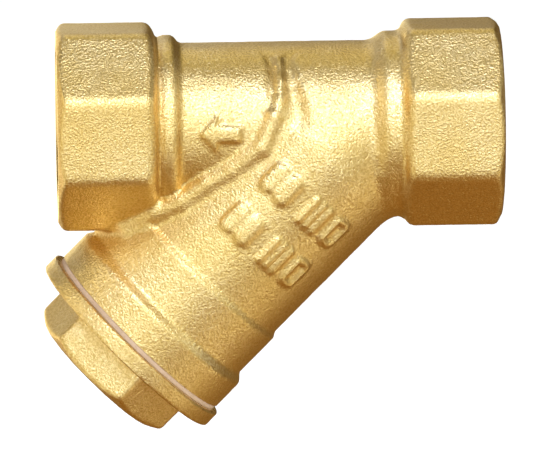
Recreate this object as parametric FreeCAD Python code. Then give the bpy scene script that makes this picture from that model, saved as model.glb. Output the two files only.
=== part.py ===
"""Y-pattern strainer for a half-inch water line, in millimetres.

The pipe run lies along X. The inlet mouth is at the origin and the outlet mouth at x = -FACE_TO_FACE, so
water flows towards -X. The screen branch leaves the run at 45 degrees, down and towards the outlet. Branch
parts are modelled upright, with their height measured along the branch axis from a point close to where it
crosses the run, and then placed.
"""

import FreeCAD
import Part
import math
import os

V = FreeCAD.Vector
X_AXIS = V(1, 0, 0)
Y_AXIS = V(0, 1, 0)
Z_AXIS = V(0, 0, 1)
ORIGIN = V(0, 0, 0)
BIG = 200.0

# Pipe run
FACE_TO_FACE = 55.5
OCTAGON_FLATS = 25.0
OCTAGON_LENGTH = 12.4
OCTAGON_EDGE_R = 2.0
SHOULDER_TOE_R = 11.2
SHOULDER_SLOPE = 15.0
END_CHAMFER = 0.55
CHAMFER_SLOPE = 30.0
TUBE_R = 10.33
BEAD_R = 11.35
BEAD_INNER_X = 15.4
BEAD_RISE = 0.5
BEAD_FALL = 0.9
NECK_R = 10.9
FLOW_R = 7.5

# Half-inch parallel pipe thread of the two ports
PORT_MINOR_R = 9.3155
PORT_MAJOR_R = 10.4775
PORT_PITCH = 1.814
PORT_THREADS = 4
PORT_LEAD_IN = 0.8
PORT_WALL = 9.37
PORT_TAPER = 0.6
PORT_DEPTH = PORT_LEAD_IN + PORT_WALL
GROOVE_TURN = 350.0

# A thread ridge, as parts of its pitch: end of its crest land, start and end of the root land
CREST_TO = 0.2
ROOT_FROM = 0.5
ROOT_TO = 0.7

# Branch, with heights along its own axis
BRANCH_X = -18.45
BRANCH_Z = 0.7
BRANCH_ANGLE = 45.0
BRANCH_R = 12.06
STEP_R = 12.5
COLLAR_R = 13.42
STEP_FROM = 26.0
STEP_TO = 26.9
COLLAR_FROM = 32.7
COLLAR_TO = 34.1
BRANCH_END = 37.9
SHOULDER_AT = -1.0
SHOULDER_LENGTH = 4.0
SHOULDER_R = 9.5

# Inside of the branch
SEAT_AT = 2.0
PARTITION_FROM = 0.2
SEAT_HOLE_R = 7.2
CHAMBER_R = 9.9
CHAMBER_FROM = 3.4
EASE = 0.3

# Cap thread: the crests of body and cap pass each other with THREAD_CLEARANCE
CAP_BODY_CREST_R = 10.19
CAP_BODY_ROOT_R = 10.95
CAP_PITCH = 1.5
CAP_BODY_THREADS = 5
CAP_THREADS = 4
CAP_THREAD_DEPTH = 0.7
CAP_LEAD = 0.5
THREAD_CLEARANCE = 0.04

# Cap and gasket
GASKET_THICKNESS = 0.65
GASKET_R = 13.3
GASKET_HOLE_R = 10.35
FLANGE_R = 14.2
FLANGE_THICKNESS = 2.15
FLANGE_CHAMFER = 0.2
HEX_FLATS = 18.6
HEX_EDGE_R = 0.7
HEX_HEIGHT = 5.2
HEX_TURN = 16.0
HEX_CHAMFER = 0.4
PLUG_LENGTH = 8.0
RECESS_DEPTH_IN_HEAD = 0.9
RECESS_LEAD = 0.2

# Screen
SCREEN_R = 8.3
SUPPORT_WALL = 0.5
MESH_WALL = 0.4
RIM_WALL = 0.2
RIM_LENGTH = 2.6
SCREEN_END_GAP = 0.2
SEAT_CLEARANCE = 0.1
HOLE_R = 0.8
HOLES_ROUND = 16
HOLE_ROWS = 15
PLAIN_END = RIM_LENGTH + 1.0

# Raised casting marks
MARK_HEIGHT = 0.42
ARROW_X = -35.35
ARROW_Z = 0.45
ARROW_LENGTH = 5.5
ARROW_HEAD_LENGTH = 2.4
ARROW_HEAD_WIDTH = 5.3
ARROW_SHAFT_WIDTH = 2.5
MARK_ROWS_AT = (18.2, 11.2)
MARK_LENGTH = 4.2
WIDE_MARK = 2.6
BAR_WIDTH = 0.95
WIDE_MARK_ANGLES = (36.0, -5.0, -17.0)
BAR_ANGLES = (23.0, 17.5, 12.0)

FLANGE_AT = BRANCH_END + GASKET_THICKNESS
HEX_AT = FLANGE_AT + FLANGE_THICKNESS
RECESS_FLOOR = HEX_AT + RECESS_DEPTH_IN_HEAD
SEAT_R = SCREEN_R + RIM_WALL + SEAT_CLEARANCE
SCREEN_TO = RECESS_FLOOR - SCREEN_END_GAP


def lathe(points, axis=Z_AXIS, turn=360.0):
    """Turn an outline of (radius, height) points about axis, through the origin, by turn degrees."""
    if axis == X_AXIS:
        outline = [V(h, 0, r) for r, h in points]
    else:
        outline = [V(r, 0, h) for r, h in points]
    face = Part.Face(Part.makePolygon(outline + outline[:1]))
    return face.revolve(ORIGIN, axis, turn)


def ring(r_out, r_in, h0, h1):
    """A plain ring about Z from height h0 to h1."""
    return lathe([(r_in, h0), (r_out, h0), (r_out, h1), (r_in, h1)])


def place_on_branch(shape):
    """Move an upright shape, whose +Z points away from the run, onto the branch axis."""
    placed = shape.copy()
    placed.rotate(ORIGIN, Y_AXIS, -(90.0 + BRANCH_ANGLE))
    placed.translate(V(BRANCH_X, 0, BRANCH_Z))
    return placed


def thread_teeth(crest_r, root_r, start, pitch, count):
    """Outline points of a thread drawn as parallel ridges, from height start upwards."""
    points = []
    for i in range(count):
        h = start + i * pitch
        points += [
            (crest_r, h),
            (crest_r, h + CREST_TO * pitch),
            (root_r, h + ROOT_FROM * pitch),
            (root_r, h + ROOT_TO * pitch),
        ]
    points.append((crest_r, start + count * pitch))
    return points


def polygon_prism(flats, sides, length, edge_r, turn):
    """An upright prism with rounded long edges; a flat faces the turn angle."""
    corner = flats / 2 / math.cos(math.pi / sides)
    angles = [math.radians(turn + (i + 0.5) * 360.0 / sides) for i in range(sides)]
    corners = [V(corner * math.cos(a), corner * math.sin(a), 0) for a in angles]
    prism = Part.Face(Part.makePolygon(corners + corners[:1])).extrude(V(0, 0, length))
    upright = [e for e in prism.Edges if abs(e.tangentAt(e.FirstParameter).z) > 0.9]
    return prism.makeFillet(edge_r, upright)


def octagon_end():
    """One octagonal wrench end, its outer face at x = 0 and its body towards -X."""
    corner = OCTAGON_FLATS / 2 / math.cos(math.pi / 8)
    face_r = OCTAGON_FLATS / 2 - END_CHAMFER
    outer_reach = (corner - face_r) * math.tan(math.radians(CHAMFER_SLOPE))
    inner_reach = (corner - SHOULDER_TOE_R) * math.tan(math.radians(SHOULDER_SLOPE))
    envelope = lathe(
        [
            (0, 0),
            (face_r, 0),
            (corner, outer_reach),
            (corner, OCTAGON_LENGTH - inner_reach),
            (SHOULDER_TOE_R, OCTAGON_LENGTH),
            (0, OCTAGON_LENGTH),
        ]
    )
    end = polygon_prism(OCTAGON_FLATS, 8, OCTAGON_LENGTH, OCTAGON_EDGE_R, 0.0).common(envelope)
    end.rotate(ORIGIN, Y_AXIS, -90)
    return end


def run_outside():
    """The outside of the pipe run: tube, two beads and two octagonal ends."""
    inside_end = OCTAGON_LENGTH - 1.0
    half = [
        (0, inside_end),
        (NECK_R, inside_end),
        (NECK_R, OCTAGON_LENGTH),
        (BEAD_R, OCTAGON_LENGTH + BEAD_RISE),
        (BEAD_R, BEAD_INNER_X - BEAD_FALL),
        (TUBE_R, BEAD_INNER_X),
    ]
    points = [(r, -x) for r, x in half]
    points += [(r, x - FACE_TO_FACE) for r, x in reversed(half)]
    inlet = octagon_end()
    outlet = octagon_end()
    outlet.rotate(ORIGIN, Z_AXIS, 180)
    outlet.translate(V(-FACE_TO_FACE, 0, 0))
    return lathe(points, X_AXIS).multiFuse([inlet, outlet])


def branch_outside():
    """The outside of the branch. Its shoulder runs into the inlet side and stays under the top of the run."""
    outline = [
        (0, SHOULDER_AT - SHOULDER_LENGTH),
        (SHOULDER_R, SHOULDER_AT - SHOULDER_LENGTH),
        (BRANCH_R, SHOULDER_AT),
        (BRANCH_R, STEP_FROM),
        (STEP_R, STEP_TO),
        (STEP_R, COLLAR_FROM),
        (COLLAR_R, COLLAR_TO),
        (COLLAR_R, BRANCH_END),
        (0, BRANCH_END),
    ]
    below_top = Part.makeBox(BIG, BIG, BIG, V(-BIG / 2, -BIG / 2, TUBE_R - BIG))
    return place_on_branch(lathe(outline)).common(below_top)


def port_cutter(sign, mouth_x):
    """Cutter for one threaded port, from its mouth inwards. The grooves stop just short of a full turn."""
    threads_from = PORT_LEAD_IN + (PORT_WALL - (PORT_THREADS + CREST_TO) * PORT_PITCH) / 2
    bore = [
        (0, -1.0),
        (PORT_MAJOR_R + 1.0, -1.0),
        (PORT_MAJOR_R, 0.0),
        (PORT_MINOR_R, PORT_LEAD_IN),
        (PORT_MINOR_R, PORT_DEPTH),
        (FLOW_R, PORT_DEPTH + PORT_TAPER),
        (0, PORT_DEPTH + PORT_TAPER),
    ]
    grooves = []
    for i in range(PORT_THREADS):
        h = threads_from + i * PORT_PITCH
        outline = [
            (FLOW_R, h + CREST_TO * PORT_PITCH),
            (PORT_MINOR_R, h + CREST_TO * PORT_PITCH),
            (PORT_MAJOR_R, h + ROOT_FROM * PORT_PITCH),
            (PORT_MAJOR_R, h + ROOT_TO * PORT_PITCH),
            (PORT_MINOR_R, h + PORT_PITCH),
            (FLOW_R, h + PORT_PITCH),
        ]
        groove = lathe([(r, mouth_x + sign * x) for r, x in outline], X_AXIS, GROOVE_TURN)
        groove.rotate(ORIGIN, X_AXIS, 180.0 + (360.0 - GROOVE_TURN) / 2)
        grooves.append(groove)
    return lathe([(r, mouth_x + sign * h) for r, h in bore], X_AXIS).multiFuse(grooves)


def half_space(at, outward):
    """A large box that fills the branch side of height at, or the run side of it."""
    low = at if outward else at - BIG
    return place_on_branch(Part.makeBox(BIG, BIG, BIG, V(-BIG / 2, -BIG / 2, low)))


def chamber_cutter():
    """Cutter for the screen chamber, with its seat at one end and the cap's thread at the other."""
    thread_at = BRANCH_END - 2 * EASE - CAP_BODY_THREADS * CAP_PITCH
    points = [
        (0, PARTITION_FROM - 2 * EASE),
        (SEAT_HOLE_R, PARTITION_FROM - 2 * EASE),
        (SEAT_HOLE_R, SEAT_AT),
        (SEAT_R, SEAT_AT),
        (SEAT_R, CHAMBER_FROM - EASE),
        (SEAT_R + EASE, CHAMBER_FROM),
        (CHAMBER_R, CHAMBER_FROM),
        (CHAMBER_R, thread_at - 2 * EASE),
    ]
    points += thread_teeth(CAP_BODY_CREST_R, CAP_BODY_ROOT_R, thread_at, CAP_PITCH, CAP_BODY_THREADS)
    points += [(CAP_BODY_ROOT_R, BRANCH_END), (CAP_BODY_ROOT_R, BRANCH_END + 1), (0, BRANCH_END + 1)]
    return place_on_branch(lathe(points))


def body_cutters():
    """Everything that is hollow in the body. The partition is what the two flow bores leave between them."""
    bore = Part.makeCylinder(
        FLOW_R, FACE_TO_FACE - 2 * PORT_DEPTH, V(PORT_DEPTH - FACE_TO_FACE, 0, 0), X_AXIS
    )
    outlet_bore = bore.common(half_space(CHAMBER_FROM, True))
    inlet_bore = bore.common(half_space(PARTITION_FROM, False))
    ports = [port_cutter(-1, 0.0), port_cutter(1, -FACE_TO_FACE)]
    return [outlet_bore, inlet_bore, chamber_cutter()] + ports


def flow_arrow():
    """Raised arrow on the front of the tube, pointing to the outlet."""
    back = ARROW_LENGTH / 2
    neck = ARROW_HEAD_LENGTH - back
    upper = [
        (-back, 0),
        (neck, ARROW_HEAD_WIDTH / 2),
        (neck, ARROW_SHAFT_WIDTH / 2),
        (back, ARROW_SHAFT_WIDTH / 2),
    ]
    outline = upper + [(x, -z) for x, z in reversed(upper[1:])]
    corners = [V(ARROW_X + x, -BIG / 2, ARROW_Z + z) for x, z in outline]
    prism = Part.Face(Part.makePolygon(corners + corners[:1])).extrude(V(0, BIG / 2 - TUBE_R / 2, 0))
    skin = Part.makeCylinder(TUBE_R + MARK_HEIGHT, 2 * ARROW_LENGTH, V(ARROW_X - ARROW_LENGTH, 0, 0), X_AXIS)
    return prism.common(skin)


def rating_marks():
    """Two equal rows of plain raised bars and blocks on the front of the branch."""
    marks = []
    skin = Part.makeCylinder(BRANCH_R + MARK_HEIGHT, STEP_FROM)
    angles = BAR_ANGLES + WIDE_MARK_ANGLES
    widths = [BAR_WIDTH] * len(BAR_ANGLES) + [WIDE_MARK] * len(WIDE_MARK_ANGLES)
    for at in MARK_ROWS_AT:
        for angle, width in zip(angles, widths):
            corner = V(-width / 2, -BIG / 2 - BRANCH_R / 2, at - MARK_LENGTH / 2)
            mark = Part.makeBox(width, BIG / 2, MARK_LENGTH, corner)
            mark.rotate(ORIGIN, Z_AXIS, -angle)
            marks.append(place_on_branch(mark.common(skin)))
    return marks


def make_body():
    outside = run_outside().multiFuse([branch_outside(), flow_arrow()] + rating_marks())
    return outside.cut(body_cutters()).removeSplitter()


def hexagon_head():
    """The cap's head, with its outer corners chamfered, standing on height 0."""
    corner = HEX_FLATS / 2 / math.cos(math.pi / 6)
    face_r = HEX_FLATS / 2 - HEX_CHAMFER
    reach = (corner - face_r) * math.tan(math.radians(CHAMFER_SLOPE))
    envelope = lathe(
        [(0, 0), (corner, 0), (corner, HEX_HEIGHT - reach), (face_r, HEX_HEIGHT), (0, HEX_HEIGHT)]
    )
    return polygon_prism(HEX_FLATS, 6, HEX_HEIGHT, HEX_EDGE_R, HEX_TURN - 90.0).common(envelope)


def make_cap():
    """Cap: hexagon head, flange and hollow threaded plug, in one piece."""
    crest = CAP_BODY_CREST_R - THREAD_CLEARANCE
    root = crest - CAP_THREAD_DEPTH
    tip = FLANGE_AT - PLUG_LENGTH
    outline = [(0, tip), (root, tip)]
    outline += thread_teeth(root, crest, tip + CAP_LEAD, CAP_PITCH, CAP_THREADS)
    outline += [
        (root, FLANGE_AT),
        (FLANGE_R - FLANGE_CHAMFER, FLANGE_AT),
        (FLANGE_R, FLANGE_AT + FLANGE_CHAMFER),
        (FLANGE_R, HEX_AT - FLANGE_CHAMFER),
        (FLANGE_R - FLANGE_CHAMFER, HEX_AT),
        (0, HEX_AT),
    ]
    head = hexagon_head()
    head.translate(V(0, 0, HEX_AT))
    recess = [
        (0, tip),
        (SEAT_R + RECESS_LEAD, tip),
        (SEAT_R, tip + RECESS_LEAD),
        (SEAT_R, RECESS_FLOOR),
        (0, RECESS_FLOOR),
    ]
    return place_on_branch(lathe(outline).fuse(head).cut(lathe(recess)).removeSplitter())


def make_cap_gasket():
    """Flat sealing ring between the body's end face and the cap's flange."""
    return place_on_branch(ring(GASKET_R, GASKET_HOLE_R, BRANCH_END, FLANGE_AT))


def make_screen_support():
    """Perforated tube with staggered round holes."""
    low = SEAT_AT + RIM_WALL
    high = SCREEN_TO - RIM_WALL
    row_pitch = (high - low - 2 * PLAIN_END) / (HOLE_ROWS - 1)
    drills = []
    for row in range(HOLE_ROWS):
        height = low + PLAIN_END + row * row_pitch
        for i in range(HOLES_ROUND):
            angle = math.radians((i + 0.5 * (row % 2)) * 360.0 / HOLES_ROUND)
            outward = V(math.cos(angle), math.sin(angle), 0)
            start = V(0, 0, height) + outward * (SCREEN_R / 2)
            drills.append(Part.makeCylinder(HOLE_R, SCREEN_R, start, outward))
    return place_on_branch(ring(SCREEN_R, SCREEN_R - SUPPORT_WALL, low, high).cut(drills))


def make_screen_mesh():
    """Fine wire cloth inside the support, as a plain thin sleeve."""
    outer = SCREEN_R - SUPPORT_WALL
    return place_on_branch(ring(outer, outer - MESH_WALL, SEAT_AT + RIM_WALL, SCREEN_TO - RIM_WALL))


def make_rim(end, inward):
    """Folded rim that closes over both layers at one end of the screen."""
    inner = SCREEN_R - SUPPORT_WALL - MESH_WALL
    outline = [
        (inner - RIM_WALL, 0),
        (SCREEN_R + RIM_WALL, 0),
        (SCREEN_R + RIM_WALL, RIM_LENGTH),
        (SCREEN_R, RIM_LENGTH),
        (SCREEN_R, RIM_WALL),
        (inner, RIM_WALL),
        (inner, RIM_LENGTH),
        (inner - RIM_WALL, RIM_LENGTH),
    ]
    return place_on_branch(lathe([(r, end + inward * h) for r, h in outline]))


def main():
    parts = {
        "body": make_body(),
        "cap": make_cap(),
        "cap_gasket": make_cap_gasket(),
        "screen_support": make_screen_support(),
        "screen_mesh": make_screen_mesh(),
        "screen_seat_rim": make_rim(SEAT_AT, 1),
        "screen_cap_rim": make_rim(SCREEN_TO, -1),
    }
    os.makedirs("parts", exist_ok=True)
    for name, shape in parts.items():
        shape.exportStep(f"parts/{name}.step")
        box = shape.BoundBox
        size = f"{box.XLength:.1f} x {box.YLength:.1f} x {box.ZLength:.1f} mm"
        print(f"{name}: {len(shape.Solids)} solid, valid {shape.isValid()}, {shape.Volume:.1f} mm3, {size}")


main()
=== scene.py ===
import math
import bpy
import numpy as np
from mathutils import Matrix, Vector


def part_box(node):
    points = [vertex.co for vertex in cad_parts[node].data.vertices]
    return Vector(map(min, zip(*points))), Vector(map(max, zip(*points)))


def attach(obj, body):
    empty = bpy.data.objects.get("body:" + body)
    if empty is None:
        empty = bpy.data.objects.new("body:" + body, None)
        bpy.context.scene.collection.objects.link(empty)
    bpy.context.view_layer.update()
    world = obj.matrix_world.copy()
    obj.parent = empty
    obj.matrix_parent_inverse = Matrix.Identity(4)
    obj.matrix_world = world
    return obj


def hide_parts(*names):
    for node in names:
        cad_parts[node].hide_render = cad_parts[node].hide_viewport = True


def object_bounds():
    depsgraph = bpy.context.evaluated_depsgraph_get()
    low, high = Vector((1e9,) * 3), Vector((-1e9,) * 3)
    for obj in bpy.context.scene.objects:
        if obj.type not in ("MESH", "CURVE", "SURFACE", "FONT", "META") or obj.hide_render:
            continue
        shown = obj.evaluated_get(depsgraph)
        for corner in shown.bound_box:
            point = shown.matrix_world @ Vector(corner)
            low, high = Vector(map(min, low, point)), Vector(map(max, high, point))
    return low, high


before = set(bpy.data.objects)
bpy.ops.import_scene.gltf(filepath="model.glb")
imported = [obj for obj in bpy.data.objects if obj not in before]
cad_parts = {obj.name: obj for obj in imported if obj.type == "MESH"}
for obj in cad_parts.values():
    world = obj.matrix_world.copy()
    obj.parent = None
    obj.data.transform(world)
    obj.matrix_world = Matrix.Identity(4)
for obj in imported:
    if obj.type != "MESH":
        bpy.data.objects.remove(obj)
cad_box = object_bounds()

MM = 0.001

# Pipe run, in millimetres, with the inlet mouth at x = 0 and the outlet mouth at x = -LENGTH
LENGTH = -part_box("body")[0].x / MM
OCTAGON_APOTHEM = 12.46
OCTAGON_CORNER_R = 2.3
OCTAGON_LENGTH = 12.4
SHOULDER_TOE_R = 11.2
SHOULDER_SLOPE = math.radians(14)
FACE_R = OCTAGON_APOTHEM - 0.5
CHAMFER_SLOPE = math.radians(29)
TUBE_R = 10.33
BEAD_R = 11.35
BEAD_AT = 13.85
BEAD_HALF = 1.25
BEAD_EDGE_R = 1.0
FLOW_R = 7.5

# Screen branch, with heights t along its own axis
BRANCH_X = -18.45
BRANCH_Z = 0.7
BRANCH_R = 12.06
DOME_FROM = 6.0
DOME_LENGTH = 11.0
STEPS = ((26.45, 0.9, 0.44), (33.4, 1.4, 0.92))
BRANCH_END = 37.9
SEAT_AT = 2.0
PARTITION_FROM = 0.2
SEAT_HOLE_R = 7.2
SEAT_R = 8.6
CHAMBER_R = 9.9
CHAMBER_FROM = 3.4

# Threads: smallest radius, largest radius, pitch
PORT_THREAD = (9.3155, 10.4775, 1.814)
PORT_THREAD_LENGTH = 9.87
PORT_LEAD = 0.8
BRANCH_THREAD = (10.19, 10.95, 1.5)
CAP_THREAD = (9.45, 10.15, 1.5)
BRANCH_THREAD_FROM = 29.8

# Cap, gasket and plug, in the same heights
FLANGE_FROM = 38.55
HEX_FROM = 40.7
CAP_END = 45.9
FLANGE_R = 14.17
HEX_APOTHEM = 9.3
HEX_TURN = math.radians(-90 + 16)
PLUG_TIP = 30.55
RECESS_FLOOR = 41.6
GASKET_R = 13.3
GASKET_HOLE_R = 10.35

# Raised marks
MARK_HEIGHT = 0.42
ARROW_TIP_X = -38.1
ARROW_TURN = math.radians(2.5)

MARK_ROWS_AT = (18.2, 11.2)
MARK_HALF_LENGTH = 2.1
# Angle round the branch, half width, and whether it is a ring
MARKS = ((36, 1.35, True), (23, 0.45, False), (17.4, 0.45, False), (11.8, 0.45, False), (-5, 1.1, False),
         (-16, 1.1, False))

# Casting notch between tube and branch: x, degrees up the side, lift over the tube, radius
NOTCH_LEFT = ((-29.6, 67, 0.5, 0.35), (-28.85, 59, 0.3, 0.5), (-28.65, 50, 0.2, 0.6), (-28.7, 41, 0.3, 0.6),
              (-28.8, 30, 0.45, 0.55), (-28.9, 22, 0.7, 0.5))
NOTCH_RIGHT = ((-26.0, 67, 0.5, 0.4), (-26.8, 59, 0.4, 0.6), (-26.6, 48, 0.45, 0.8), (-26.35, 37, 0.6, 1.1),
               (-26.0, 25, 1.0, 1.5), (-25.7, 14, 1.9, 2.0))

# Raised rib where the branch leaves the tube, in the same terms as the notch
RIB = ((-27.9, 60, -0.4, 0.45), (-27.85, 40, -0.4, 0.5), (-28.0, 26, -0.5, 0.7), (-28.6, 14, -0.35, 0.95),
       (-30.2, -7, -0.2, 1.0), (-34.0, -24, -0.1, 1.1), (-37.0, -34, 0.3, 1.15), (-40.2, -45, 1.3, 1.15),
       (-43.5, -53, 1.9, 1.15), (-46.8, -64, 2.4, 1.15), (-49.6, -86, 2.75, 1.0))

# The ports' and the branch's threads are machined out to these radii
PORT_MACHINED_R = 10.6
BRANCH_MACHINED_R = 11.05

# Sampling of the fields: grid steps, and how the points are pulled onto the surface
GRID_STEP = 0.36
CAP_GRID_STEP = 0.3
PULL_ROUNDS = 4
PULL_LIMIT = 0.15
PULL_SHARE = 0.8
FAR = 9.0

SHARP_ANGLE = math.radians(35)
FLOOR_DROP = 0.052
SOFTBOX_DISTANCE = 1.4

CAMERA_AZIMUTH = math.radians(-2.4)
CAMERA_ELEVATION = math.radians(10.2)
CAMERA_ROLL = math.radians(0.5)
CAMERA_DISTANCE = 0.9276
CAMERA_LENS = 483.3
CAMERA_TARGET = (-28.25, 0.0, -12.9)


def smin(a, b, k):
    """Union of two distance fields with a fillet of about k."""
    h = np.maximum(k - np.abs(a - b), 0) / k
    return np.minimum(a, b) - h * h * k / 4


def smax(a, b, k):
    """Intersection of two distance fields with an edge rounded by about k."""
    return -smin(-a, -b, k)


def rounded_slab(u, half_u, v, top_v, edge_r):
    """Distance to a shape |u| < half_u, v < top_v in a plane, with its corners rounded."""
    du = np.abs(u) - (half_u - edge_r)
    dv = v - (top_v - edge_r)
    outside = np.hypot(np.maximum(du, 0), np.maximum(dv, 0))
    return outside + np.minimum(np.maximum(du, dv), 0) - edge_r


def rounded_polygon(u, v, sides, apothem, edge_r, turn=0.0):
    """Distance to a regular polygon, a flat of which faces the angle turn, with rounded corners."""
    sector = 2 * math.pi / sides
    angle = np.arctan2(v, u) - turn
    folded = np.mod(angle + sector / 2, sector) - sector / 2
    radius = np.hypot(u, v)
    across = radius * np.cos(folded) - (apothem - edge_r)
    along = np.abs(radius * np.sin(folded)) - (apothem - edge_r) * math.tan(sector / 2)
    outside = np.hypot(np.maximum(across, 0), np.maximum(along, 0))
    return outside + np.minimum(np.maximum(across, along), 0) - edge_r


def smooth_step(x, centre, width):
    s = np.clip((x - centre) / width + 0.5, 0, 1)
    return s * s * (3 - 2 * s)


def branch_axes(x, y, z):
    """Height along the branch, offset towards the lower right, and distance from the branch's axis."""
    along, up = x - BRANCH_X, z - BRANCH_Z
    t = -(along + up) * math.sqrt(0.5)
    q = (along - up) * math.sqrt(0.5)
    return t, q, np.hypot(q, y)


def capsule(x, y, z, a, b, radius_a, radius_b):
    """Distance to a rod with round ends from a to b, whose radius goes from radius_a to radius_b."""
    ab = np.subtract(b, a)
    s = np.clip(((x - a[0]) * ab[0] + (y - a[1]) * ab[1] + (z - a[2]) * ab[2]) / (ab @ ab), 0, 1)
    gap = (x - a[0] - s * ab[0], y - a[1] - s * ab[1], z - a[2] - s * ab[2])
    return np.sqrt(gap[0] ** 2 + gap[1] ** 2 + gap[2] ** 2) - radius_a - s * (radius_b - radius_a)


def on_tube(x, degrees, lift, side):
    """A point lift above the tube's surface; degrees go up from the horizontal on that side."""
    a = math.radians(degrees)
    return (x, side * (TUBE_R + lift) * math.cos(a), (TUBE_R + lift) * math.sin(a))


def octagon_field(x, y, z, e):
    """One octagonal end; e is the distance in from its mouth. It runs past the mouth, to be faced off."""
    r = np.hypot(y, z)
    d = rounded_polygon(y, z, 8, OCTAGON_APOTHEM, OCTAGON_CORNER_R)
    chamfer = (r - FACE_R) * math.sin(CHAMFER_SLOPE) - e * math.cos(CHAMFER_SLOPE)
    shoulder = (r - SHOULDER_TOE_R) * math.sin(SHOULDER_SLOPE)
    shoulder = shoulder - (OCTAGON_LENGTH - e) * math.cos(SHOULDER_SLOPE)
    d = smax(d, chamfer, 0.35)
    d = smax(d, shoulder, 1.1)
    return np.maximum(smax(d, e - OCTAGON_LENGTH - 0.1, 0.3), -e - 0.6)


def branch_field(x, y, z):
    t, q, rho = branch_axes(x, y, z)
    radius = BRANCH_R + sum(rise * smooth_step(t, at, width) for at, width, rise in STEPS)
    barrel = rho - radius
    over = np.maximum(DOME_FROM - t, 0) * BRANCH_R / DOME_LENGTH
    dome = np.hypot(rho, over) - BRANCH_R
    d = np.where(t < DOME_FROM, dome, barrel)
    return np.maximum(d, t - BRANCH_END - 1.5)


def arrow_field(x, y, z):
    """Flow arrow on the front of the tube, pointing to the outlet."""
    u = x - ARROW_TIP_X
    v = np.abs((np.arctan2(z, -y) - ARROW_TURN) * TUBE_R)
    head_length, head_half, shaft_half, length = 2.5, 2.65, 1.15, 5.5
    slope = math.atan2(head_half, head_length)
    head = np.maximum((v - u * math.tan(slope)) * math.cos(slope), u - head_length)
    shaft = np.maximum(np.maximum(v - shaft_half, u - length), head_length * 0.5 - u)
    flat = np.minimum(head, shaft) + 0.1
    height = np.hypot(y, z) - TUBE_R - MARK_HEIGHT
    return smax(smax(flat, height, 0.55), y, 0.1)


def marks_field(x, y, z):
    """Plain raised rings, bars and blocks on the front of the branch, in two rows."""
    t, q, rho = branch_axes(x, y, z)
    arc = np.degrees(np.arctan2(q, -y))
    d = np.full(x.shape, FAR)
    height = rho - BRANCH_R - MARK_HEIGHT
    for at in MARK_ROWS_AT:
        for centre, half, ring in MARKS:
            u = (arc - centre) * math.radians(1) * BRANCH_R
            flat = rounded_slab(u, half, np.abs(t - at), MARK_HALF_LENGTH, min(half, 0.9) * 0.98)
            if ring:
                flat = np.abs(flat + 0.42) - 0.42
            d = np.minimum(d, smax(flat, height, 0.6))
    return d


def rods_field(x, y, z, paths):
    """Rods along paths on the tube, on both of its sides."""
    d = np.full(x.shape, FAR)
    for side in (-1, 1):
        for path in paths:
            for a, b in zip(path, path[1:]):
                ends = on_tube(*a[:3], side), on_tube(*b[:3], side)
                d = smin(d, capsule(x, y, z, *ends, a[3], b[3]), 0.3)
    return d


def outside_field(x, y, z):
    """The outside of the casting."""
    r = np.hypot(y, z)
    tube = np.maximum(r - TUBE_R, np.abs(x + LENGTH / 2) - LENGTH / 2 + 3)
    rib = rods_field(x, y, z, (RIB,))
    at_inlet = smooth_step(x, -22.0, 8.0)
    branch = smin(branch_field(x, y, z), rib, 1.4)
    d = smin(tube, branch, 0.8 + 1.2 * at_inlet)
    groove = rods_field(x, y, z, (NOTCH_LEFT, NOTCH_RIGHT))
    d = smax(d, -groove, 0.6)
    for e in (-x, x + LENGTH):
        bead = rounded_slab(e - BEAD_AT, BEAD_HALF, r, BEAD_R, BEAD_EDGE_R)
        d = smin(d, bead, 0.7 + 1.3 * at_inlet)
        d = smin(d, octagon_field(x, y, z, e), 0.9 + 0.5 * at_inlet)
    d = smin(d, rib, 0.5)
    ridge = capsule(x, y, z, (-15.2, -9.3, -4.8), (-13.7, -6.0, -9.2), 0.75, 0.75)
    d = smin(d, ridge, 0.6)
    d = smin(d, arrow_field(x, y, z), 0.35)
    return smin(d, marks_field(x, y, z), 0.4)


def bores_field(x, y, z):
    """The two cast flow passages, one on each side of the partition."""
    t = branch_axes(x, y, z)[0]
    r = np.hypot(y, z)
    bore = np.maximum(r - FLOW_R, np.abs(x + LENGTH / 2) - LENGTH / 2 + 9)
    inlet = smax(bore, t - PARTITION_FROM, 0.6)
    outlet = smax(bore, CHAMBER_FROM - t, 0.6)
    return np.minimum(inlet, outlet)


def body_field(x, y, z):
    return smax(outside_field(x, y, z), -bores_field(x, y, z), 0.4)


def cap_field(x, y, z):
    """The cap's hexagon head and flange, upright, with z along the branch."""
    rho = np.hypot(x, y)
    middle = (FLANGE_FROM + HEX_FROM) / 2
    flange = rounded_slab(z - middle, (HEX_FROM - FLANGE_FROM) / 2, rho, FLANGE_R, 0.28)
    hexagon = rounded_polygon(x, y, 6, HEX_APOTHEM, 0.8, HEX_TURN)
    chamfer = (rho - HEX_APOTHEM + 0.5) * math.sin(CHAMFER_SLOPE)
    chamfer = chamfer - (CAP_END - z) * math.cos(CHAMFER_SLOPE)
    head = smax(hexagon, chamfer, 0.4)
    head = smax(head, z - CAP_END, 0.3)
    head = np.maximum(head, FLANGE_FROM + 0.5 - z)
    return smin(flange, head, 0.25)


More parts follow.
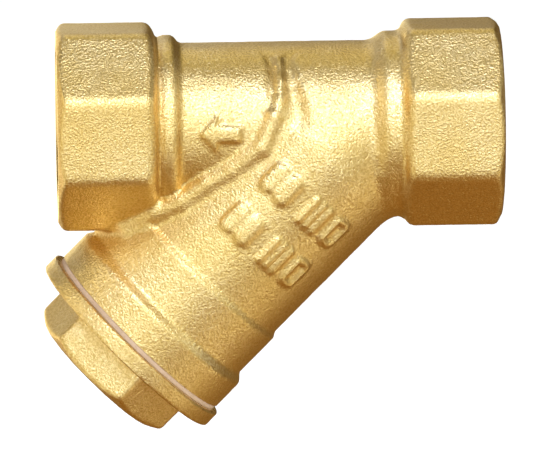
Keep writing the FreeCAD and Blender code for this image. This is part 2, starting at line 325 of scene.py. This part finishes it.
def sample_field(field, low, high, step):
    """Surface nets: the quads that follow a distance field's zero, then pulled onto it."""
    axes = [np.arange(a - 2 * step, b + 3 * step, step) for a, b in zip(low, high)]
    values = field(*np.meshgrid(*axes, indexing="ij"))
    solid = values < 0
    n = np.array(values.shape) - 1
    corners = [(i, j, k) for i in (0, 1) for j in (0, 1) for k in (0, 1)]

    def corner(grid, c):
        return grid[c[0]:c[0] + n[0], c[1]:c[1] + n[1], c[2]:c[2] + n[2]]

    count = sum(corner(solid, c).astype(np.int8) for c in corners)
    active = (count > 0) & (count < 8)
    cells = np.argwhere(active)
    index = np.full(tuple(n), -1)
    index[active] = np.arange(len(cells))
    total = np.zeros((len(cells), 3))
    hits = np.zeros(len(cells))
    for a in corners:
        for axis in range(3):
            if a[axis]:
                continue
            b = list(a)
            b[axis] = 1
            fa = corner(values, a)[active]
            fb = corner(values, b)[active]
            cross = (fa < 0) != (fb < 0)
            share = np.where(cross, fa / np.where(cross, fa - fb, 1), 0)
            place = np.tile(np.array(a, float), (len(cells), 1))
            place[:, axis] += share
            total += place * cross[:, None]
            hits += cross
    points = (cells + total / hits[:, None]) * step + np.array([a[0] for a in axes])
    quads = []
    for axis in range(3):
        u, v = (axis + 1) % 3, (axis + 2) % 3
        first = [slice(None)] * 3
        second = [slice(None)] * 3
        first[axis] = slice(None, -1)
        second[axis] = slice(1, None)
        edges = np.argwhere(solid[tuple(first)] != solid[tuple(second)])
        around = []
        for du, dv in ((-1, -1), (0, -1), (0, 0), (-1, 0)):
            cell = edges.copy()
            cell[:, u] += du
            cell[:, v] += dv
            around.append(index[tuple(cell.T)])
        ring = np.array(around).T
        flip = ~solid[tuple(edges.T)]
        ring[flip] = ring[flip][:, ::-1]
        quads.append(ring)
    for _ in range(PULL_ROUNDS):
        points -= field_step(field, points)
    return points, np.concatenate(quads)


def field_step(field, points, h=0.02):
    """How far each point is from the field's zero, along the field's slope."""
    here = field(*points.T)
    slope = np.zeros_like(points)
    for axis in range(3):
        moved = points.copy()
        moved[:, axis] += h
        slope[:, axis] = (field(*moved.T) - here) / h
    length2 = np.maximum((slope ** 2).sum(1), 0.25)
    move = slope * (np.clip(here, -PULL_LIMIT, PULL_LIMIT) / length2)[:, None]
    return move * PULL_SHARE


def lump_noise(points, size, seed):
    """Smooth noise of about one unit, made of waves of about the given size."""
    rng = np.random.default_rng(seed)
    total = np.zeros(len(points))
    waves = 24
    for _ in range(waves):
        direction = rng.normal(size=3)
        direction *= 2 * math.pi / size / np.linalg.norm(direction) * rng.uniform(0.6, 1.5)
        total += np.cos(points @ direction + rng.uniform(0, 2 * math.pi))
    return total / math.sqrt(waves)


def new_object(name, points, faces, placed=False):
    """An object from points in millimetres; placed moves them from upright onto the branch."""
    points = np.asarray(points, float)
    if placed:
        points = onto_branch(points)
    mesh = bpy.data.meshes.new(name)
    mesh.from_pydata((points * MM).tolist(), [], [tuple(int(i) for i in f) for f in faces])
    mesh.update()
    obj = bpy.data.objects.new(name, mesh)
    bpy.context.scene.collection.objects.link(obj)
    return obj


def onto_branch(points):
    """Upright points, whose z is the height along the branch, moved onto the branch."""
    s = math.sqrt(0.5)
    u, y, t = np.asarray(points, float).T
    return np.stack([BRANCH_X - s * t - s * u, y, BRANCH_Z - s * t + s * u], axis=1)


def stack_rings(rings, segments):
    """A closed solid from rings of (height, radius or radii), upright."""
    angles = np.arange(segments) * 2 * math.pi / segments
    points = []
    for height, radius in rings:
        radius = np.broadcast_to(radius, segments)
        points.append(np.stack([radius * np.cos(angles), radius * np.sin(angles),
                                np.full(segments, height)], axis=1))
    points = np.concatenate(points)
    faces = []
    for i in range(len(rings) - 1):
        for j in range(segments):
            k = (j + 1) % segments
            low, high = i * segments, (i + 1) * segments
            faces.append((low + j, low + k, high + k, high + j))
    faces.append(tuple(reversed(range(segments))))
    faces.append(tuple(range((len(rings) - 1) * segments, len(rings) * segments)))
    return points, faces


def lathe(outline, segments):
    """A closed ring turned from an outline of (radius, height), which runs counter-clockwise."""
    count = len(outline)
    angles = np.arange(segments) * 2 * math.pi / segments
    points = [(r * math.cos(a), r * math.sin(a), h) for a in angles for r, h in outline]
    faces = []
    for j in range(segments):
        k = (j + 1) % segments
        for i in range(count):
            m = (i + 1) % count
            faces.append((j * count + i, k * count + i, k * count + m, j * count + m))
    return points, faces


def tooth(phase):
    """Thread profile over one pitch, from 0 on the land nearest the axis to 1 on the furthest."""
    phase = np.mod(phase, 1.0)
    rise = np.clip((phase - 0.2) / 0.3, 0, 1)
    fall = np.clip((1.0 - phase) / 0.3, 0, 1)
    return np.minimum(rise, fall)


def thread_rings(thread, start, end, segments, fade):
    """Rings of a helical thread between two heights, fading out at each end over the fade length."""
    small, large, pitch = thread
    angles = np.arange(segments) / segments
    rings = []
    for h in np.linspace(start, end, int((end - start) / pitch * 14) + 1):
        depth = min(1.0, max(0.0, (h - start) / fade), max(0.0, (end - h) / fade))
        wave = tooth(h / pitch - angles)
        rings.append((h, small + (large - small) * wave * depth))
    return rings


def port_cutter(name, at_inlet):
    """Solid that faces off a mouth and cuts its thread, lying along X."""
    small, large, pitch = PORT_THREAD
    segments = 120
    rings = [(-2.0, 20.0), (0.0, 20.0), (0.0, large)]
    for h, radius in thread_rings(PORT_THREAD, 0.02, PORT_THREAD_LENGTH, segments, pitch * 0.6):
        cone = large - h / PORT_LEAD * (large - small)
        rings.append((h, np.maximum(radius, cone)))
    rings.append((PORT_THREAD_LENGTH + 0.3, small))
    rings.append((PORT_THREAD_LENGTH + 0.9, FLOW_R))
    points, faces = stack_rings(rings, segments)
    if at_inlet:
        points = np.stack([-points[:, 2], points[:, 0], -points[:, 1]], axis=1)
    else:
        points = np.stack([points[:, 2] - LENGTH, points[:, 0], points[:, 1]], axis=1)
    return new_object(name, points, faces)


def chamber_cutter(name):
    """Solid of the screen chamber, its seat and the cap's thread."""
    segments = 144
    _, large, pitch = BRANCH_THREAD
    rings = [(-1.6, SEAT_HOLE_R), (SEAT_AT, SEAT_HOLE_R), (SEAT_AT, SEAT_R), (CHAMBER_FROM - 0.3, SEAT_R),
             (CHAMBER_FROM, SEAT_R + 0.3), (CHAMBER_FROM + 0.3, CHAMBER_R - 0.25),
             (CHAMBER_FROM + 0.6, CHAMBER_R), (BRANCH_THREAD_FROM - 0.6, CHAMBER_R)]
    rings += thread_rings(BRANCH_THREAD, BRANCH_THREAD_FROM, BRANCH_END - 0.6, segments, pitch * 0.6)
    rings += [(BRANCH_END, large), (BRANCH_END, 20.0), (BRANCH_END + 3, 20.0)]
    points, faces = stack_rings(rings, segments)
    return new_object(name, points, faces, placed=True)


def combine(target, tool, operation):
    """Boolean of two closed meshes; the tool is used up."""
    modifier = target.modifiers.new("combine", "BOOLEAN")
    modifier.operation = operation
    modifier.solver = "MANIFOLD"
    modifier.object = tool
    bpy.context.view_layer.update()
    graph = bpy.context.evaluated_depsgraph_get()
    mesh = bpy.data.meshes.new_from_object(target.evaluated_get(graph))
    target.modifiers.clear()
    old = target.data
    target.data = mesh
    mesh.name = target.name
    bpy.data.meshes.remove(old)
    bpy.data.objects.remove(tool)


def shade(obj):
    obj.data.shade_smooth()
    obj.data.set_sharp_from_angle(angle=SHARP_ANGLE)


def face_centres(obj):
    centres = np.zeros(len(obj.data.polygons) * 3)
    obj.data.polygons.foreach_get("center", centres)
    return centres.reshape(-1, 3) / MM


def give_materials(obj, materials, indices):
    obj.data.materials.clear()
    for m in materials:
        obj.data.materials.append(m)
    obj.data.polygons.foreach_set("material_index", np.asarray(indices, np.int32))


# ---------------------------------------------------------------- materials

def node_material(name):
    material = bpy.data.materials.new(name)
    material.use_nodes = True
    nodes = material.node_tree.nodes
    nodes.clear()
    output = nodes.new("ShaderNodeOutputMaterial")
    shader = nodes.new("ShaderNodeBsdfPrincipled")
    material.node_tree.links.new(shader.outputs["BSDF"], output.inputs["Surface"])
    return material, shader


class Nodes:
    """Short calls for building a node tree."""

    def __init__(self, material):
        self.tree = material.node_tree
        self.position = self.tree.nodes.new("ShaderNodeTexCoord").outputs["Object"]

    def link(self, source, target):
        if isinstance(source, (int, float, tuple)):
            target.default_value = source
        else:
            self.tree.links.new(source, target)

    def noise(self, scale, detail=2.0, rough=0.5, distortion=0.0):
        node = self.tree.nodes.new("ShaderNodeTexNoise")
        node.inputs["Scale"].default_value = scale
        node.inputs["Detail"].default_value = detail
        node.inputs["Roughness"].default_value = rough
        node.inputs["Distortion"].default_value = distortion
        self.link(self.position, node.inputs["Vector"])
        return node.outputs["Fac"]

    def math(self, operation, a, b):
        node = self.tree.nodes.new("ShaderNodeMath")
        node.operation = operation
        self.link(a, node.inputs[0])
        self.link(b, node.inputs[1])
        return node.outputs[0]

    def remap(self, value, a, b, c, d):
        node = self.tree.nodes.new("ShaderNodeMapRange")
        for socket, x in zip(("From Min", "From Max", "To Min", "To Max"), (a, b, c, d)):
            node.inputs[socket].default_value = x
        self.link(value, node.inputs["Value"])
        return node.outputs["Result"]

    def blend(self, factor, a, b):
        node = self.tree.nodes.new("ShaderNodeMix")
        node.data_type = "RGBA"
        self.link(factor, node.inputs[0])
        self.link(a, node.inputs[6])
        self.link(b, node.inputs[7])
        return node.outputs[2]

    def bump(self, height, distance, normal=None):
        node = self.tree.nodes.new("ShaderNodeBump")
        node.inputs["Distance"].default_value = distance
        node.inputs["Strength"].default_value = 1.0
        self.link(height, node.inputs["Height"])
        if normal is not None:
            self.link(normal, node.inputs["Normal"])
        return node.outputs["Normal"]


def rgb(r, g, b):
    return (r, g, b, 1.0)


def sandblasted_brass(name):
    """Cast brass with a fine blasted grain, whose pits are darkened with painted shade."""
    material, shader = node_material(name)
    n = Nodes(material)
    grain = n.noise(3700, 2.5, 0.55, 0.3)
    pits = n.noise(8200, 1.5, 0.6)
    lumps = n.noise(420, 2.0, 0.5)
    clouds = n.noise(90, 3.0, 0.55)
    tone = n.blend(n.remap(clouds, 0.35, 0.65, 0, 1), rgb(0.89, 0.67, 0.31), rgb(0.83, 0.59, 0.22))
    # Painted shade: where the grain's bump is lowest, in its pits, the colour is darkened towards a deep
    # brass.
    pit_shaded_tone = n.blend(n.remap(grain, 0.36, 0.64, 0.75, 0.0), tone, rgb(0.60, 0.37, 0.09))
    shader.inputs["Metallic"].default_value = 1.0
    n.link(pit_shaded_tone, shader.inputs["Base Color"])
    rough = n.math("ADD", n.remap(grain, 0.3, 0.7, 0.05, -0.05), n.remap(clouds, 0.3, 0.7, 0.31, 0.39))
    n.link(rough, shader.inputs["Roughness"])
    normal = n.bump(lumps, 0.00004)
    normal = n.bump(grain, 0.00012, normal)
    normal = n.bump(pits, 0.00002, normal)
    n.link(normal, shader.inputs["Normal"])
    return material


def machined_brass(name):
    """Turned brass with fine tool marks."""
    material, shader = node_material(name)
    n = Nodes(material)
    smear = n.noise(600, 3.0, 0.6)
    fine = n.noise(9000, 1.0, 0.5)
    clouds = n.noise(120, 2.0, 0.5)
    tone = n.blend(n.remap(clouds, 0.35, 0.65, 0, 1), rgb(0.92, 0.73, 0.38), rgb(0.86, 0.65, 0.29))
    shader.inputs["Metallic"].default_value = 1.0
    n.link(tone, shader.inputs["Base Color"])
    n.link(n.remap(smear, 0.3, 0.7, 0.2, 0.34), shader.inputs["Roughness"])
    normal = n.bump(fine, 0.000008)
    n.link(n.bump(smear, 0.00001, normal), shader.inputs["Normal"])
    return material


def fibre(name):
    """Tan gasket sheet with short fibres and specks."""
    material, shader = node_material(name)
    n = Nodes(material)
    fleck = n.noise(3800, 2.0, 0.7)
    clouds = n.noise(260, 3.0, 0.6)
    tone = n.blend(n.remap(clouds, 0.3, 0.7, 0, 1), rgb(0.47, 0.30, 0.17), rgb(0.56, 0.38, 0.235))
    tone = n.blend(n.remap(fleck, 0.55, 0.72, 0, 0.6), tone, rgb(0.26, 0.15, 0.08))
    n.link(tone, shader.inputs["Base Color"])
    n.link(n.remap(fleck, 0.3, 0.7, 0.55, 0.75), shader.inputs["Roughness"])
    n.link(n.bump(fleck, 0.00003), shader.inputs["Normal"])
    return material


def stainless(name, rough_low, rough_high, tint):
    """Rolled stainless steel with faint smears."""
    material, shader = node_material(name)
    n = Nodes(material)
    smear = n.noise(700, 3.0, 0.6, 0.5)
    fine = n.noise(6000, 1.0, 0.5)
    tone = n.blend(n.remap(smear, 0.3, 0.7, 0, 1), rgb(*tint), rgb(*(c * 0.82 for c in tint)))
    shader.inputs["Metallic"].default_value = 1.0
    n.link(tone, shader.inputs["Base Color"])
    n.link(n.remap(smear, 0.3, 0.7, rough_low, rough_high), shader.inputs["Roughness"])
    n.link(n.bump(fine, 0.000006), shader.inputs["Normal"])
    return material


# ---------------------------------------------------------------- pieces

CAST = sandblasted_brass("sandblasted_brass")
TURNED = machined_brass("machined_brass")
FIBRE = fibre("gasket_fibre")
STEEL = stainless("stainless_sheet", 0.24, 0.36, (0.62, 0.61, 0.59))
WIRE = stainless("stainless_wire", 0.28, 0.4, (0.55, 0.55, 0.54))


def new_casting(name, points, quads, seed, fine_height):
    """An object and its points, moved along their normals by the low lumps of a casting."""
    lumps = lump_noise(points, 2.6, seed) * 0.010 + lump_noise(points, 1.2, seed + 1) * fine_height
    obj = new_object(name, points, quads)
    normals = np.zeros(len(points) * 3)
    obj.data.vertex_normals.foreach_get("vector", normals)
    return obj, points + normals.reshape(-1, 3) * lumps[:, None]


def make_body():
    low = (-LENGTH - 0.8, -14.5, -37)
    high = (0.8, 14.5, 13.5)
    points, quads = sample_field(body_field, low, high, GRID_STEP)
    obj, moved = new_casting("brass_body", points, quads, 3, 0.006)
    obj.data.vertices.foreach_set("co", (moved * MM).ravel())
    combine(obj, port_cutter("inlet_cutter", True), "DIFFERENCE")
    combine(obj, port_cutter("outlet_cutter", False), "DIFFERENCE")
    combine(obj, chamber_cutter("chamber_cutter"), "DIFFERENCE")
    x, y, z = face_centres(obj).T
    t, _, rho = branch_axes(x, y, z)
    r = np.hypot(y, z)
    near_mouth = np.minimum(-x, x + LENGTH)
    ports = (r < PORT_MACHINED_R) & (near_mouth < PORT_THREAD_LENGTH + 0.4)
    faces = near_mouth < 0.01
    bore = (rho < BRANCH_MACHINED_R) & (t > BRANCH_THREAD_FROM - 0.7)
    seat = (rho < SEAT_R + 0.4) & (t > -0.2) & (t < CHAMBER_FROM) & (rho > SEAT_HOLE_R - 0.1)
    give_materials(obj, [CAST, TURNED], ports | faces | bore | seat | (t > BRANCH_END - 0.01))
    shade(obj)
    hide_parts("body")
    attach(obj, "body")


def make_cap():
    low = (-14.5, -14.5, FLANGE_FROM)
    high = (14.5, 14.5, CAP_END)
    points, quads = sample_field(cap_field, low, high, CAP_GRID_STEP)
    obj, moved = new_casting("brass_cap", points, quads, 5, 0.005)
    obj.data.vertices.foreach_set("co", (onto_branch(moved) * MM).ravel())
    segments = 144
    small = CAP_THREAD[0]
    rings = [(PLUG_TIP, small - 0.35), (PLUG_TIP + 0.35, small)]
    rings += thread_rings(CAP_THREAD, PLUG_TIP + 0.5, FLANGE_FROM - 1.3, segments, 0.9)
    rings += [(FLANGE_FROM - 0.6, small), (FLANGE_FROM + 1.0, small)]
    plug = new_object("plug", *stack_rings(rings, segments), placed=True)
    combine(obj, plug, "UNION")
    recess = [(PLUG_TIP - 1, SEAT_R + 0.25), (PLUG_TIP, SEAT_R + 0.25), (PLUG_TIP + 0.25, SEAT_R),
              (RECESS_FLOOR - 0.3, SEAT_R), (RECESS_FLOOR, SEAT_R - 0.3)]
    combine(obj, new_object("recess", *stack_rings(recess, segments), placed=True), "DIFFERENCE")
    t, _, rho = branch_axes(*face_centres(obj).T)
    recessed = (rho < SEAT_R + 0.1) & (t < RECESS_FLOOR + 0.01)
    give_materials(obj, [CAST, TURNED], (t < FLANGE_FROM + 0.02) | recessed)
    shade(obj)
    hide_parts("cap")
    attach(obj, "cap")


def rounded_outline(corners, radius, steps=4):
    """Corners of (radius, height) with each one rounded."""
    outline = []
    count = len(corners)
    for i, corner in enumerate(corners):
        here = np.array(corner, float)
        before = np.array(corners[i - 1], float) - here
        after = np.array(corners[(i + 1) % count], float) - here
        a = here + before / np.linalg.norm(before) * radius
        b = here + after / np.linalg.norm(after) * radius
        for s in np.linspace(0, 1, steps):
            outline.append(tuple((1 - s) ** 2 * a + 2 * s * (1 - s) * here + s * s * b))
    return outline


def make_gasket():
    low, high = BRANCH_END, FLANGE_FROM
    corners = [(GASKET_HOLE_R, low), (GASKET_R, low), (GASKET_R, high), (GASKET_HOLE_R, high)]
    obj = new_object("fibre_gasket", *lathe(rounded_outline(corners, 0.12), 160), placed=True)
    obj.data.materials.append(FIBRE)
    shade(obj)
    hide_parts("cap_gasket")
    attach(obj, "gasket")


def finish_cad_node(node, material):
    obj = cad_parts[node]
    obj.data.materials.clear()
    obj.data.materials.append(material)


make_body()
make_cap()
make_gasket()
for node in ("screen_support", "screen_seat_rim", "screen_cap_rim"):
    finish_cad_node(node, STEEL)
finish_cad_node("screen_mesh", WIRE)


# ---------------------------------------------------------------- stage

def make_floor():
    """Pale paper, low enough for the screen and cap to be drawn out above it."""
    material, shader = node_material("floor_paper")
    n = Nodes(material)
    tone = n.blend(n.noise(3, 2.0), rgb(0.90, 0.90, 0.895), rgb(0.88, 0.88, 0.875))
    n.link(tone, shader.inputs["Base Color"])
    shader.inputs["Roughness"].default_value = 0.9
    shader.inputs["Specular IOR Level"].default_value = 0.1
    shader.inputs["Emission Color"].default_value = rgb(1.0, 0.97, 0.94)
    shader.inputs["Emission Strength"].default_value = 0.45
    reach = 4.0
    low = cad_box[0].z - FLOOR_DROP
    corners = [(-reach, -reach, low), (reach, -reach, low), (reach, reach, low), (-reach, reach, low)]
    mesh = bpy.data.meshes.new("floor")
    mesh.from_pydata(corners, [], [(0, 1, 2, 3)])
    mesh.materials.append(material)
    floor = bpy.data.objects.new("floor", mesh)
    bpy.context.scene.collection.objects.link(floor)
    floor.visible_glossy = False
    floor.visible_shadow = False


CENTRE = (cad_box[0] + cad_box[1]) / 2


def direction(azimuth, elevation):
    """Unit vector from the part, in radians; azimuth 0 is the front, and it grows towards the inlet."""
    across = math.cos(elevation)
    return Vector((math.sin(azimuth) * across, -math.cos(azimuth) * across, math.sin(elevation)))


def softbox(name, azimuth, elevation, width, height, power, colour):
    """A rectangular soft light that faces the part."""
    light = bpy.data.lights.new(name, "AREA")
    light.shape = "RECTANGLE"
    light.size, light.size_y = width, height
    light.energy = power
    light.color = colour
    obj = bpy.data.objects.new(name, light)
    bpy.context.scene.collection.objects.link(obj)
    back = direction(math.radians(azimuth), math.radians(elevation))
    obj.location = CENTRE + back * SOFTBOX_DISTANCE
    obj.rotation_euler = (-back).to_track_quat("-Z", "Y").to_euler()
    obj.visible_camera = False


def make_lights():
    """Softboxes all round, mildly tinted: a cool key above the camera, and mostly warm fills."""
    softbox("key", 0, 45, 1.2, 0.5, 25.0, (0.57, 0.68, 1.0))
    softbox("front", 0, 0, 1.2, 0.8, 8.6, (0.70, 0.84, 1.0))
    softbox("front_left", -40, -5, 0.8, 1.3, 3.2, (1.0, 1.0, 0.62))
    softbox("left_low", -80, -30, 1.0, 0.62, 3.4, (0.85, 1.0, 1.0))
    softbox("left", -85, 24, 1.0, 0.7, 5.5, (1.0, 1.0, 0.85))
    softbox("left_back", -120, -16, 1.0, 0.9, 3.0, (1.0, 0.92, 0.75))
    softbox("back_left", -160, -3, 1.1, 0.62, 4.4, (1.0, 0.95, 0.62))
    softbox("back_left_high", -160, 38, 1.0, 0.62, 3.0, (0.65, 0.75, 1.0))
    softbox("back_high", 180, 64, 1.0, 0.62, 2.6, (1.0, 0.95, 0.5))
    softbox("right", 80, 18, 1.0, 0.62, 4.4, (0.7, 0.85, 1.0))
    softbox("front_right", 40, 16, 0.8, 0.62, 2.4, (0.95, 1.0, 0.6))
    softbox("right_low", 62, -38, 0.9, 0.7, 3.6, (0.9, 0.95, 0.8))
    softbox("right_high", 60, 62, 0.9, 0.62, 1.2, (1.0, 0.9, 0.5))


def make_world():
    """Dim warm surroundings, brighter below, so that no reflection is black."""
    world = bpy.data.worlds.new("studio")
    bpy.context.scene.world = world
    world.use_nodes = True
    tree = world.node_tree
    tree.nodes.clear()
    coord = tree.nodes.new("ShaderNodeTexCoord")
    split = tree.nodes.new("ShaderNodeSeparateXYZ")
    ramp = tree.nodes.new("ShaderNodeValToRGB")
    background = tree.nodes.new("ShaderNodeBackground")
    output = tree.nodes.new("ShaderNodeOutputWorld")
    shift = tree.nodes.new("ShaderNodeMath")
    shift.operation = "MULTIPLY_ADD"
    shift.inputs[1].default_value = 0.5
    shift.inputs[2].default_value = 0.5
    stops = ramp.color_ramp.elements
    stops[0].position, stops[0].color = 0.0, rgb(0.36, 0.18, 0.04)
    stops[1].position, stops[1].color = 1.0, rgb(0.04, 0.03, 0.01)
    middle = stops.new(0.5)
    middle.color = rgb(0.16, 0.10, 0.03)
    tree.links.new(coord.outputs["Generated"], split.inputs[0])
    tree.links.new(split.outputs["Z"], shift.inputs[0])
    tree.links.new(shift.outputs[0], ramp.inputs["Fac"])
    tree.links.new(ramp.outputs["Color"], background.inputs["Color"])
    tree.links.new(background.outputs[0], output.inputs["Surface"])


def make_camera():
    """A long lens in front of the part, a little above it."""
    data = bpy.data.cameras.new("camera")
    camera = bpy.data.objects.new("camera", data)
    bpy.context.scene.collection.objects.link(camera)
    back = direction(CAMERA_AZIMUTH, CAMERA_ELEVATION)
    camera.location = Vector(CAMERA_TARGET) * MM + back * CAMERA_DISTANCE
    facing = (-back).to_track_quat("-Z", "Y").to_matrix() @ Matrix.Rotation(-CAMERA_ROLL, 3, "Z")
    camera.rotation_euler = facing.to_euler()
    data.sensor_width = 36.0
    data.lens = CAMERA_LENS
    data.clip_start, data.clip_end = 0.05, 20.0
    bpy.context.scene.camera = camera


make_floor()
make_lights()
make_world()
make_camera()
bpy.context.scene.view_settings.view_transform = "Standard"
